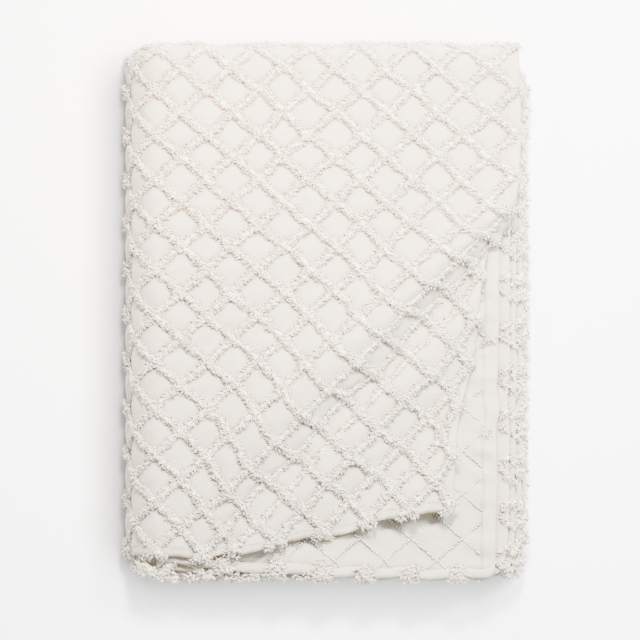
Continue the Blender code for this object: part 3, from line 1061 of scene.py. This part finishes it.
def stitch_line(rng, places, normals, pitch, length):
    """Short stitches that lie end to end along a line on the cloth."""
    lengths = np.concatenate(([0.0], np.cumsum(np.linalg.norm(np.diff(places, axis=0), axis=1))))
    at = np.arange(0.0, lengths[-1], pitch)
    roots = np.stack([np.interp(at, lengths, places[:, k]) for k in range(3)], axis=-1)
    lifted = np.stack([np.interp(at, lengths, normals[:, k]) for k in range(3)], axis=-1)
    ways = unit(np.stack([np.interp(at + 0.2 * pitch, lengths, places[:, k])
                          - np.interp(at - 0.2 * pitch, lengths, places[:, k])
                          for k in range(3)], axis=-1))
    side = unit(np.cross(lifted, ways))
    ways = unit(ways + side * rng.normal(0.0, 0.18, len(at))[:, None])
    side = unit(np.cross(lifted, ways))
    return roots, np.stack((lifted, side, ways), axis=1), length * rng.uniform(0.85, 1.1, len(at))


def add_back_stitches(rng):
    """Dotted lines on the second layer's reverse, where the tufts of its face are sewn."""
    slope = ROW_STEP / COLUMN_STEP
    made = []
    up = np.array((0.0, 0.0, 1.0))
    for lean in (-1.0, 1.0):
        for n in range(-6, 14):
            x = np.arange(-150.0 * MM, 180.0 * MM, 1.0 * MM)
            y = REVERSE_NODE[1] * MM + lean * slope * (x - REVERSE_NODE[0] * MM
                                                       - (n - 5) * 54.1 * MM)
            hem = second_hem_x(y) - 15.0 * MM
            edge = front_edge_y(x, LAYERS - 1) + 12.0 * MM
            shows = (x > 108.0 * MM) | (y < -205.0 * MM)
            keep = (x < hem) & (y > edge) & (y < 70.0 * MM) & shows
            if keep.sum() < 6:
                continue
            places = flat_place(x[keep], y[keep], LAYERS - 1)
            made.append(stitch_line(rng, places, np.tile(up, (len(places), 1)), 3.3 * MM,
                                    2.8 * MM))
    return made


def add_hem_stitches(rng):
    """Machine stitches along the seams of the hems."""
    made = []
    up = np.array((0.0, 0.0, 1.0))
    y = np.arange(-262.0 * MM, 90.0 * MM, 2.0 * MM)
    places = flat_place(second_hem_x(y) - 15.0 * MM, y, LAYERS - 1)
    made.append(stitch_line(rng, places, np.tile(up, (len(places), 1)), 3.2 * MM, 2.2 * MM))
    x = np.arange(-150.0 * MM, 160.0 * MM, 2.0 * MM)
    places = flat_place(x, front_edge_y(x, LAYERS - 1) + 11.5 * MM, LAYERS - 1)
    made.append(stitch_line(rng, places, np.tile(up, (len(places), 1)), 3.2 * MM, 2.2 * MM))
    for column, row in ((HEM_COLUMN - HEM_WIDTH_COLUMNS + 0.1, np.arange(0.0, HEM_ROW, 0.2)),
                        (np.arange(-3.0, HEM_COLUMN, 0.2), HEM_ROW - HEM_WIDTH_ROWS + 0.1)):
        normals = top_normal(column, row)
        places = top_surface(column, row) + normals * (
            cloth_relief(column, row) + CLOTH_THICKNESS / 2.0)[..., None]
        made.append(stitch_line(rng, places, normals, 3.2 * MM, 2.2 * MM))
    return made


class BEDSPREAD_PG_cloth(bpy.types.PropertyGroup):
    """Sizes and colours of the woven ground."""

    grid_step: FloatProperty(
        name="Grid step", description="Size of the cloth's mesh squares", default=0.0042,
        min=0.002, max=0.02, unit="LENGTH")
    flat_width: FloatProperty(
        name="Flat width", description="Width of the cloth before it is folded", default=1.73,
        unit="LENGTH")
    flat_length: FloatProperty(
        name="Flat length", description="Length of the cloth before it is folded", default=2.26,
        unit="LENGTH")
    colour: FloatVectorProperty(
        name="Cotton", description="Colour of the woven ground", subtype="COLOR",
        default=(0.69, 0.645, 0.54), min=0.0, max=1.0)
    shade: FloatVectorProperty(
        name="Cotton shade", description="Colour of its faint uneven patches", subtype="COLOR",
        default=(0.64, 0.59, 0.48), min=0.0, max=1.0)
    # Painted shade: the dark warm colour mixed into the cloth where layers and tufts meet, standing
    # in for their shade
    crevice_shade_colour: FloatVectorProperty(
        name="Crevice", description="Colour where layers and tufts meet", subtype="COLOR",
        default=(0.34, 0.215, 0.12), min=0.0, max=1.0)


class BEDSPREAD_PG_tufts(bpy.types.PropertyGroup):
    """Sizes and colours of the clipped tufts."""

    strand_length: FloatProperty(
        name="Strand length", description="Length of a clipped strand", default=0.0034,
        unit="LENGTH")
    strand_thickness: FloatProperty(
        name="Strand thickness", description="Thickness of a clipped strand", default=0.0017,
        unit="LENGTH")
    core_radius: FloatProperty(
        name="Core radius", description="Radius of the yarn body under the strands",
        default=0.0049, unit="LENGTH")
    stitch_step: FloatProperty(
        name="Stitch step", description="Distance between tufts along a row", default=0.0026,
        unit="LENGTH")
    strands_per_stitch: IntProperty(
        name="Strands", description="Strands in one tuft", default=10, min=3, max=16)
    colour: FloatVectorProperty(
        name="Tuft", description="Colour of the strands' tips", subtype="COLOR",
        default=(0.985, 0.93, 0.785), min=0.0, max=1.0)
    # Painted shade: the darker colour at the strands' roots, standing in for the shade among the
    # tufts
    root_shade_colour: FloatVectorProperty(
        name="Tuft root", description="Colour of the strands' roots", subtype="COLOR",
        default=(0.95, 0.86, 0.69), min=0.0, max=1.0)


class BEDSPREAD_PG_sewing(bpy.types.PropertyGroup):
    """Sizes and colours of the stitches."""

    back_thickness: FloatProperty(
        name="Back stitch", description="Thickness of the stitches on the reverse",
        default=0.0025, unit="LENGTH")
    hem_thickness: FloatProperty(
        name="Hem stitch", description="Thickness of the hem's thread", default=0.0006,
        unit="LENGTH")
    colour: FloatVectorProperty(
        name="Thread", description="Colour of the stitches", subtype="COLOR",
        default=(0.92, 0.90, 0.86), min=0.0, max=1.0)
    # Painted shade: the darker colour that each stitch takes towards the end where it dips into the
    # cloth
    shade: FloatVectorProperty(
        name="Thread shade", description="Colour at the stitches' ends", subtype="COLOR",
        default=(0.80, 0.76, 0.70), min=0.0, max=1.0)


class BEDSPREAD_PG_stage(bpy.types.PropertyGroup):
    """Floor, lights and camera."""

    lens: FloatProperty(
        name="Lens", description="Focal length of the camera in millimetres", default=200.0)
    floor_colour: FloatVectorProperty(
        name="Floor", description="Colour of the floor", subtype="COLOR",
        default=(0.93, 0.93, 0.93), min=0.0, max=1.0)
    key_power: FloatProperty(
        name="Key light", description="Power of the soft light from the upper right",
        default=136.0, unit="POWER")
    side_power: FloatProperty(
        name="Side light", description="Power of the weaker light from the right",
        default=62.0, unit="POWER")
    warm_power: FloatProperty(
        name="Warm light", description="Power of the faint warm light from the upper left",
        default=4.2, unit="POWER")
    sky_strength: FloatProperty(
        name="Sky", description="Strength of the even light from all round", default=0.65)


class BEDSPREAD_OT_cloth(bpy.types.Operator):
    """Builds the folded cloth with its hems"""

    bl_idname = "bedspread.cloth"
    bl_label = "Folded cloth"

    def execute(self, context):
        settings = context.scene.bedspread_cloth
        mesh = make_cloth(settings.grid_step)
        material = cloth_material(tuple(settings.colour), tuple(settings.shade),
                                  tuple(settings.crevice_shade_colour))
        piece = link_mesh("bedspread_cloth", mesh, material)
        thickness = piece.modifiers.new("thickness", "SOLIDIFY")
        thickness.thickness = CLOTH_THICKNESS
        thickness.offset = 0.0
        mesh.shade_smooth()
        finish_piece(piece)
        return {"FINISHED"}


class BEDSPREAD_OT_tufts(bpy.types.Operator):
    """Builds the rows of clipped tufts"""

    bl_idname = "bedspread.tufts"
    bl_label = "Tuft rows"

    def execute(self, context):
        settings = context.scene.bedspread_tufts
        material = yarn_material("tuft_yarn", tuple(settings.colour),
                                 tuple(settings.root_shade_colour), 0.95)
        top = Yarn(settings, 7)
        add_top_rows(top)
        edges = Yarn(settings, 9)
        add_fold_rows(edges)
        add_front_rows(edges)
        for piece in (top.finish("tuft_rows", material, 190000)
                      + edges.finish("edge_tufts", material, 190000)):
            finish_piece(piece)
        return {"FINISHED"}


class BEDSPREAD_OT_sewing(bpy.types.Operator):
    """Builds the stitches on the reverse and along the hems"""

    bl_idname = "bedspread.sewing"
    bl_label = "Sewing"

    def execute(self, context):
        settings = context.scene.bedspread_sewing
        # the thread's shade colour serves as painted shade at one end of each stitch
        material = yarn_material("sewing_thread", tuple(settings.colour),
                                 tuple(settings.shade), 0.8)
        rng = np.random.default_rng(31)
        for name, lines, thickness in (
                ("back_stitches", add_back_stitches(rng), settings.back_thickness),
                ("hem_stitches", add_hem_stitches(rng), settings.hem_thickness)):
            shapes, faces = make_strand_shapes(5, 4, thickness / 0.0025)
            shapes[..., 0] *= 0.8
            roots, axes, lengths = (np.concatenate(parts) for parts in zip(*lines))
            piece = joined_strands(name, material, shapes, faces, roots, axes, lengths,
                                   rng.uniform(0.0, 1.0, len(roots)))
            finish_piece(piece)
        return {"FINISHED"}


class BEDSPREAD_OT_stage(bpy.types.Operator):
    """Builds the floor, the lights and the camera"""

    bl_idname = "bedspread.stage"
    bl_label = "Stage"

    def execute(self, context):
        settings = context.scene.bedspread_stage
        bm = bmesh.new()
        bmesh.ops.create_grid(bm, x_segments=2, y_segments=2, size=3.0)
        mesh = bpy.data.meshes.new("floor")
        bm.to_mesh(mesh)
        bm.free()
        floor = link_mesh("floor", mesh, floor_material(tuple(settings.floor_colour)))
        floor.location.z = -0.0003

        middle = PHOTO_MIDDLE + SHIFT[:2]
        camera = bpy.data.cameras.new("camera")
        camera.lens = settings.lens
        camera.sensor_width = 36.0
        away = PHOTO_SIDE * PIXEL * settings.lens / camera.sensor_width
        camera.clip_end = 20.0
        viewer = bpy.data.objects.new("camera", camera)
        viewer.location = (middle[0], middle[1], TOP_HEIGHT + away)
        context.scene.collection.objects.link(viewer)
        context.scene.camera = viewer

        self.add_light(context, "key", (0.15, 0.95, 1.4), 0.32, settings.key_power,
                       (1.0, 0.985, 0.965))
        self.add_light(context, "side", (1.0, 0.55, 1.2), 0.4, settings.side_power,
                       (1.0, 0.99, 0.98))
        self.add_light(context, "warm", (-0.12, 0.28, 0.44), 0.15, settings.warm_power,
                       (1.0, 0.62, 0.28))
        world = bpy.data.worlds.new("studio")
        world.use_nodes = True
        sky = world.node_tree.nodes["Background"]
        sky.inputs["Color"].default_value = (0.97, 0.985, 1.0, 1.0)
        sky.inputs["Strength"].default_value = settings.sky_strength
        context.scene.world = world
        return {"FINISHED"}

    @staticmethod
    def add_light(context, name, place, size, power, colour):
        data = bpy.data.lights.new(name, "AREA")
        data.shape = "DISK"
        data.size = size
        data.energy = power
        data.color = colour
        light = bpy.data.objects.new(name, data)
        light.location = place
        light.rotation_mode = "QUATERNION"
        aim = Vector((0.0, 0.0, 0.03)) - Vector(place)
        light.rotation_quaternion = aim.to_track_quat("-Z", "Y")
        context.scene.collection.objects.link(light)


class BEDSPREAD_PT_panel(bpy.types.Panel):
    """Lists the bedspread's pieces and their sizes"""

    bl_label = "Tufted bedspread"
    bl_idname = "BEDSPREAD_PT_panel"
    bl_space_type = "VIEW_3D"
    bl_region_type = "UI"
    bl_category = "Bedspread"

    def draw(self, context):
        layout = self.layout
        scene = context.scene
        groups = (
            (scene.bedspread_cloth, ("grid_step", "flat_width", "flat_length", "colour", "shade",
                                     "crevice_shade_colour"),
             BEDSPREAD_OT_cloth),
            (scene.bedspread_tufts, ("strand_length", "strand_thickness", "core_radius",
                                     "stitch_step", "strands_per_stitch", "colour", "root_shade_colour"),
             BEDSPREAD_OT_tufts),
            (scene.bedspread_sewing, ("back_thickness", "hem_thickness", "colour", "shade"),
             BEDSPREAD_OT_sewing),
            (scene.bedspread_stage, ("lens", "floor_colour", "key_power", "side_power",
                                     "warm_power", "sky_strength"),
             BEDSPREAD_OT_stage),
        )
        for settings, names, operator in groups:
            box = layout.box()
            for name in names:
                box.prop(settings, name)
            box.operator(operator.bl_idname)


CLASSES = (
    BEDSPREAD_PG_cloth,
    BEDSPREAD_PG_tufts,
    BEDSPREAD_PG_sewing,
    BEDSPREAD_PG_stage,
    BEDSPREAD_OT_cloth,
    BEDSPREAD_OT_tufts,
    BEDSPREAD_OT_sewing,
    BEDSPREAD_OT_stage,
    BEDSPREAD_PT_panel,
)


def register():
    for item in CLASSES:
        bpy.utils.register_class(item)
    bpy.types.Scene.bedspread_cloth = PointerProperty(type=BEDSPREAD_PG_cloth)
    bpy.types.Scene.bedspread_tufts = PointerProperty(type=BEDSPREAD_PG_tufts)
    bpy.types.Scene.bedspread_sewing = PointerProperty(type=BEDSPREAD_PG_sewing)
    bpy.types.Scene.bedspread_stage = PointerProperty(type=BEDSPREAD_PG_stage)


def unregister():
    del bpy.types.Scene.bedspread_stage
    del bpy.types.Scene.bedspread_sewing
    del bpy.types.Scene.bedspread_tufts
    del bpy.types.Scene.bedspread_cloth
    for item in reversed(CLASSES):
        bpy.utils.unregister_class(item)


def main():
    register()
    bpy.ops.bedspread.cloth()
    bpy.ops.bedspread.tufts()
    bpy.ops.bedspread.sewing()
    bpy.ops.bedspread.stage()


if __name__ == "__main__":
    main()
